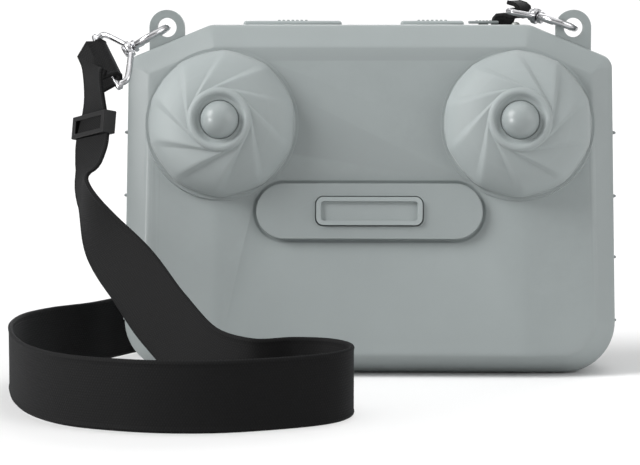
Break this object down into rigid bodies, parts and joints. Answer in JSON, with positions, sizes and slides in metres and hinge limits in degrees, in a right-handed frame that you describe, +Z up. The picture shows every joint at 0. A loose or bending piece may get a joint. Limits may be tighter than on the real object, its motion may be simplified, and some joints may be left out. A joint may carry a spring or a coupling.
{
  "type": "radio transmitter controller",
  "caption": "Handheld radio transmitter with two rubber-booted thumb sticks, a framed centre key and a webbing neck strap clipped to moulded eyelets.",
  "frame": {"origin": "middle of the flat bottom strip of the front shell, on the plane the case stands on", "axes": "+X to the right seen from the front, the front faces -Y, +Z up"},
  "size_m": [0.2096, 0.1916, 0.1318],
  "materials": {
    "case": "satin moulded plastic, fine texture",
    "boot": "satin silicone with pleats",
    "boot_ring": "satin moulded plastic",
    "cap": "satin, slightly polished by use",
    "key": "satin moulded plastic",
    "gasket": "matte elastomer",
    "metal": "plated steel wire",
    "webbing": "woven polyester webbing",
    "dark": "satin black",
    "inner": "satin",
    "board": "solder mask over glass fibre laminate",
    "cell": "shrink sleeve"
  },
  "bodies": {
    "housing": {"front_shell": "case", "rear_shell": "case", "shell_gasket": "gasket", "center_panel": "case", "key_switch": "dark", "main_board": "board", "battery_pack": "cell", "antenna_board": "board", "speaker": "dark", "vibration_motor": "metal", "usb_socket": "metal", "top_switch_board": "board", "status_lamp": "cap", "strap": "webbing", "strap_slider": "dark", "case_screw_1": "metal", "case_screw_2": "metal", "case_screw_3": "metal", "case_screw_4": "metal", "left_boot_ring": "boot_ring", "left_boot": "boot", "left_gimbal_frame": "inner", "left_tilt_sensor": "dark", "left_strap_lug": "case", "right_boot_ring": "boot_ring", "right_boot": "boot", "right_gimbal_frame": "inner", "right_tilt_sensor": "dark", "right_strap_lug": "case"},
    "left_yoke": {"left_yoke": "inner", "left_pan_sensor": "dark"},
    "left_stick": {"left_stick": "metal", "left_thumb_cap": "cap"},
    "right_yoke": {"right_yoke": "inner", "right_pan_sensor": "dark"},
    "right_stick": {"right_stick": "metal", "right_thumb_cap": "cap"},
    "center_key": {"center_key": "key"},
    "left_shoulder_key": {"left_shoulder_key": "case"},
    "right_shoulder_key": {"right_shoulder_key": "case"},
    "power_switch": {"power_switch": "dark"},
    "left_rear_key": {"left_rear_key": "dark"},
    "right_rear_key": {"right_rear_key": "dark"},
    "battery_door": {"battery_door": "case"},
    "door_latch": {"door_latch": "dark"},
    "usb_cover": {"usb_cover": "gasket"},
    "left_hook": {"left_hook": "metal"},
    "left_gate": {"left_gate": "metal"},
    "left_loop": {"left_loop": "metal"},
    "right_hook": {"right_hook": "metal"},
    "right_gate": {"right_gate": "metal"},
    "right_loop": {"right_loop": "metal"}
  },
  "joints": [
    {"name": "left_stick_tilt", "type": "hinge", "parent": "housing", "child": "left_yoke", "pos_m": [-0.0515, -0.00324, 0.08626], "axis": [1, 0, 0], "range_deg": [-18, 18], "stiffness_Nm_per_rad": 0.02, "deforming": ["left_boot"]},
    {"name": "left_stick_pan", "type": "hinge", "parent": "left_yoke", "child": "left_stick", "pos_m": [-0.0515, -0.00324, 0.08626], "axis": [0, 0.1564, 0.9877], "range_deg": [-18, 18], "stiffness_Nm_per_rad": 0.02, "deforming": ["left_boot"]},
    {"name": "right_stick_tilt", "type": "hinge", "parent": "housing", "child": "right_yoke", "pos_m": [0.0515, -0.00324, 0.08626], "axis": [1, 0, 0], "range_deg": [-18, 18], "stiffness_Nm_per_rad": 0.02, "deforming": ["right_boot"]},
    {"name": "right_stick_pan", "type": "hinge", "parent": "right_yoke", "child": "right_stick", "pos_m": [0.0515, -0.00324, 0.08626], "axis": [0, 0.1564, 0.9877], "range_deg": [-18, 18], "stiffness_Nm_per_rad": 0.02, "deforming": ["right_boot"]},
    {"name": "center_key_press", "type": "slide", "parent": "housing", "child": "center_key", "axis": [0, 0.9877, -0.1564], "range_m": [0, 0.001], "stiffness_N_per_m": 300},
    {"name": "left_shoulder_key_press", "type": "slide", "parent": "housing", "child": "left_shoulder_key", "axis": [0, 0, -1], "range_m": [0, 0.001], "stiffness_N_per_m": 300},
    {"name": "right_shoulder_key_press", "type": "slide", "parent": "housing", "child": "right_shoulder_key", "axis": [0, 0, -1], "range_m": [0, 0.001], "stiffness_N_per_m": 300},
    {"name": "power_switch_slide", "type": "slide", "parent": "housing", "child": "power_switch", "axis": [1, 0, 0], "range_m": [0, 0.0024]},
    {"name": "left_rear_key_press", "type": "slide", "parent": "housing", "child": "left_rear_key", "axis": [0, -1, 0], "range_m": [0, 0.001], "stiffness_N_per_m": 300},
    {"name": "right_rear_key_press", "type": "slide", "parent": "housing", "child": "right_rear_key", "axis": [0, -1, 0], "range_m": [0, 0.001], "stiffness_N_per_m": 300},
    {"name": "battery_door_swing", "type": "hinge", "parent": "housing", "child": "battery_door", "pos_m": [0, 0.026, 0.016], "axis": [-1, 0, 0], "range_deg": [0, 70], "deforming": ["strap"]},
    {"name": "door_latch_slide", "type": "slide", "parent": "battery_door", "child": "door_latch", "axis": [0, 0, -1], "range_m": [0, 0.003]},
    {"name": "usb_cover_swing", "type": "hinge", "parent": "housing", "child": "usb_cover", "pos_m": [0.0866, 0.0112, 0.044], "axis": [0, 1, 0], "range_deg": [0, 95]},
    {"name": "left_hook_swing", "type": "hinge", "parent": "housing", "child": "left_hook", "pos_m": [-0.0716, 0.0021, 0.121], "axis": [0, 1, 0], "range_deg": [0, 30], "deforming": ["strap"]},
    {"name": "left_gate_swing", "type": "hinge", "parent": "left_hook", "child": "left_gate", "pos_m": [-0.0811, 0.00653, 0.11561], "axis": [0.4934, 0, -0.8698], "range_deg": [0, 25], "stiffness_Nm_per_rad": 0.002},
    {"name": "left_loop_swivel", "type": "hinge", "parent": "left_hook", "child": "left_loop", "pos_m": [-0.08489, 0.00132, 0.11346], "axis": [-0.8687, -0.0508, -0.4928], "range_deg": [-2, 34], "deforming": ["strap"]},
    {"name": "right_hook_swing", "type": "hinge", "parent": "housing", "child": "right_hook", "pos_m": [0.0716, 0.0021, 0.121], "axis": [0, 1, 0], "range_deg": [0, 35], "deforming": ["strap"]},
    {"name": "right_gate_swing", "type": "hinge", "parent": "right_hook", "child": "right_gate", "pos_m": [0.06519, 0.01176, 0.12311], "axis": [-0.3128, 0, -0.9498], "range_deg": [0, 25], "stiffness_Nm_per_rad": 0.002},
    {"name": "right_loop_swivel", "type": "hinge", "parent": "right_hook", "child": "right_loop", "pos_m": [0.05902, 0.00977, 0.12514], "axis": [-0.8219, 0.5012, 0.2706], "range_deg": [-11, 30], "deforming": ["strap"]}
  ]
}
